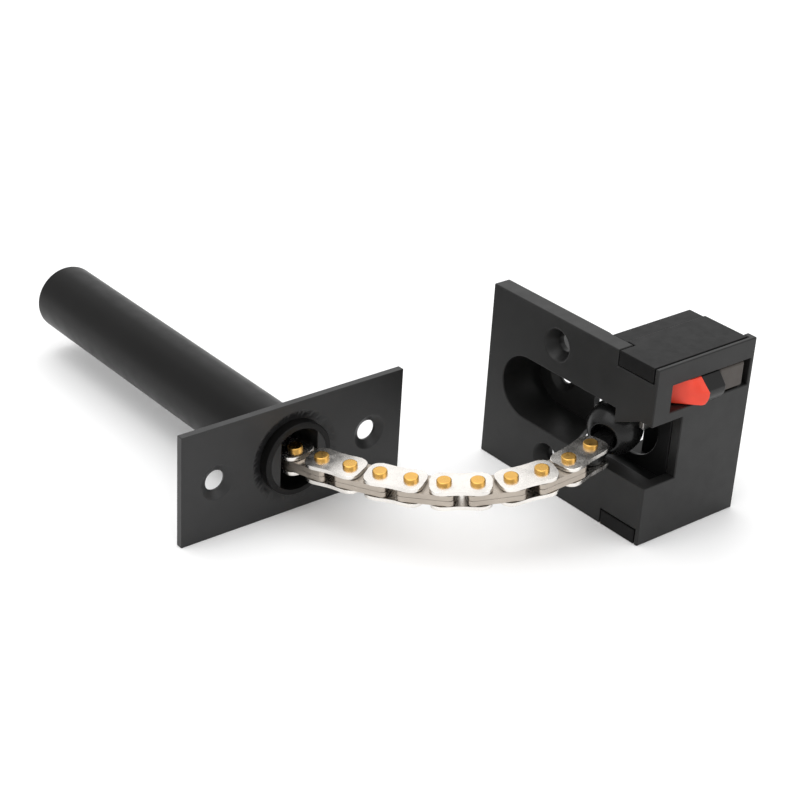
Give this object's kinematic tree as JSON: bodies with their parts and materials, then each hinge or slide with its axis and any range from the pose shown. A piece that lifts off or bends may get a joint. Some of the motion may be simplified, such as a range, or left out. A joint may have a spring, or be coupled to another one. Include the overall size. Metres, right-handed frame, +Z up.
{
  "type": "door chain guard",
  "caption": "Concealed door guard: a riveted chain on a swivelling plunger in a tube with a face plate, its ball end held in a slotted frame receiver with a release button.",
  "frame": {"origin": "centre of the barrel face plate and of its two screws, on the plate's front face", "axes": "+X along the face plate towards the receiver, +Y into the door along the barrel, +Z up"},
  "size_m": [0.1266, 0.174, 0.0482],
  "materials": {
    "black_plate": "satin black coating on steel",
    "black_tube": "satin black coating on steel",
    "guide_black": "black moulded",
    "steel": "plain steel",
    "ball_black": "glossy black",
    "receiver_black": "satin black coating on a zinc casting",
    "housing_black": "black moulded",
    "release_red": "red moulded",
    "grip_black": "black moulded",
    "shoe_grey": "dark grey moulded",
    "nickel_plate": "nickel-plated steel, polished",
    "nickel_inner": "nickel-plated steel",
    "brass_rivet": "bright brass"
  },
  "bodies": {
    "barrel": {"face_plate": "black_plate", "barrel_tube": "black_tube", "barrel_end_cap": "black_tube", "mouth_guides": "guide_black"},
    "plunger": {"plunger": "steel"},
    "swivel_eye": {"swivel_eye": "steel"},
    "outer_link_1": {"outer_link_1": "nickel_plate", "link_rivets_1": "brass_rivet"},
    "inner_link_1": {"inner_link_1": "nickel_inner"},
    "outer_link_2": {"outer_link_2": "nickel_plate", "link_rivets_2": "brass_rivet"},
    "inner_link_2": {"inner_link_2": "nickel_inner"},
    "outer_link_3": {"outer_link_3": "nickel_plate", "link_rivets_3": "brass_rivet"},
    "inner_link_3": {"inner_link_3": "nickel_inner"},
    "outer_link_4": {"outer_link_4": "nickel_plate", "link_rivets_4": "brass_rivet"},
    "inner_link_4": {"inner_link_4": "nickel_inner"},
    "outer_link_5": {"outer_link_5": "nickel_plate", "link_rivets_5": "brass_rivet"},
    "inner_link_5": {"inner_link_5": "nickel_inner"},
    "outer_link_6": {"outer_link_6": "nickel_plate", "link_rivets_6": "brass_rivet"},
    "ball_head": {"ball_head": "ball_black"},
    "receiver": {"receiver_body": "receiver_black", "inner_housing": "housing_black", "housing_cover": "housing_black"},
    "release_button": {"release_ramp": "release_red", "release_grip": "grip_black", "release_shoe": "shoe_grey", "button_carrier": "grip_black"},
    "lock_bolt": {"lock_bolt": "steel"}
  },
  "joints": [
    {"name": "plunger_slide", "type": "slide", "parent": "barrel", "child": "plunger", "axis": [0, 1, 0], "range_m": [0, 0.0015]},
    {"name": "chain_swivel", "type": "hinge", "parent": "plunger", "child": "swivel_eye", "pos_m": [0, 0.017, 0], "axis": [0, 1, 0], "continuous": true},
    {"name": "rivet_turn_1", "type": "hinge", "parent": "swivel_eye", "child": "outer_link_1", "pos_m": [0, 0.0076, 0], "axis": [-0.1219, 0, 0.9925], "range_deg": [-1.5, 1.5]},
    {"name": "rivet_turn_2", "type": "hinge", "parent": "outer_link_1", "child": "inner_link_1", "pos_m": [0, -0.0004, 0], "axis": [-0.1219, 0, 0.9925], "range_deg": [-33.5, 1]},
    {"name": "rivet_turn_3", "type": "hinge", "parent": "inner_link_1", "child": "outer_link_2", "pos_m": [0.00226, -0.00807, 0.00028], "axis": [-0.1219, 0, 0.9925], "range_deg": [-18, 8]},
    {"name": "rivet_turn_4", "type": "hinge", "parent": "outer_link_2", "child": "inner_link_2", "pos_m": [0.00517, -0.01551, 0.00063], "axis": [-0.1219, 0, 0.9925], "range_deg": [-17, 9]},
    {"name": "rivet_turn_5", "type": "hinge", "parent": "inner_link_2", "child": "outer_link_3", "pos_m": [0.00858, -0.02273, 0.00105], "axis": [-0.1219, 0, 0.9925], "range_deg": [-17, 9]},
    {"name": "rivet_turn_6", "type": "hinge", "parent": "outer_link_3", "child": "inner_link_3", "pos_m": [0.01249, -0.0297, 0.00153], "axis": [-0.1219, 0, 0.9925], "range_deg": [-21, 5]},
    {"name": "rivet_turn_7", "type": "hinge", "parent": "inner_link_3", "child": "outer_link_4", "pos_m": [0.01733, -0.03604, 0.00213], "axis": [-0.1219, 0, 0.9925], "range_deg": [-24, 2]},
    {"name": "rivet_turn_8", "type": "hinge", "parent": "outer_link_4", "child": "inner_link_4", "pos_m": [0.02327, -0.04135, 0.00286], "axis": [-0.1219, 0, 0.9925], "range_deg": [-25, 1]},
    {"name": "rivet_turn_9", "type": "hinge", "parent": "inner_link_4", "child": "outer_link_5", "pos_m": [0.03019, -0.04528, 0.00371], "axis": [-0.1219, 0, 0.9925], "range_deg": [-25, 1]},
    {"name": "rivet_turn_10", "type": "hinge", "parent": "outer_link_5", "child": "inner_link_5", "pos_m": [0.03776, -0.04769, 0.00464], "axis": [-0.1219, 0, 0.9925], "range_deg": [-25, 1]},
    {"name": "rivet_turn_11", "type": "hinge", "parent": "inner_link_5", "child": "outer_link_6", "pos_m": [0.04566, -0.04846, 0.00561], "axis": [-0.1219, 0, 0.9925], "range_deg": [-24.5, 1.5]},
    {"name": "rivet_turn_12", "type": "hinge", "parent": "outer_link_6", "child": "ball_head", "pos_m": [0.05356, -0.04762, 0.00658], "axis": [-0.1219, 0, 0.9925], "range_deg": [-24.1, 1.9]},
    {"name": "ball_travel", "type": "slide", "parent": "ball_head", "child": "receiver", "axis": [0, -1, 0], "range_m": [0, 0.027]},
    {"name": "release_press", "type": "slide", "parent": "receiver", "child": "release_button", "axis": [0, 1, 0], "range_m": [0, 0.003], "stiffness_N_per_m": 400, "springref_m": -0.001},
    {"name": "bolt_lift", "type": "slide", "parent": "receiver", "child": "lock_bolt", "axis": [0, 0, 1], "range_m": [0, 0.0045]}
  ],
  "couplings": [
    {"joint": "bolt_lift", "follows": "release_press", "ratio": 1.5}
  ]
}
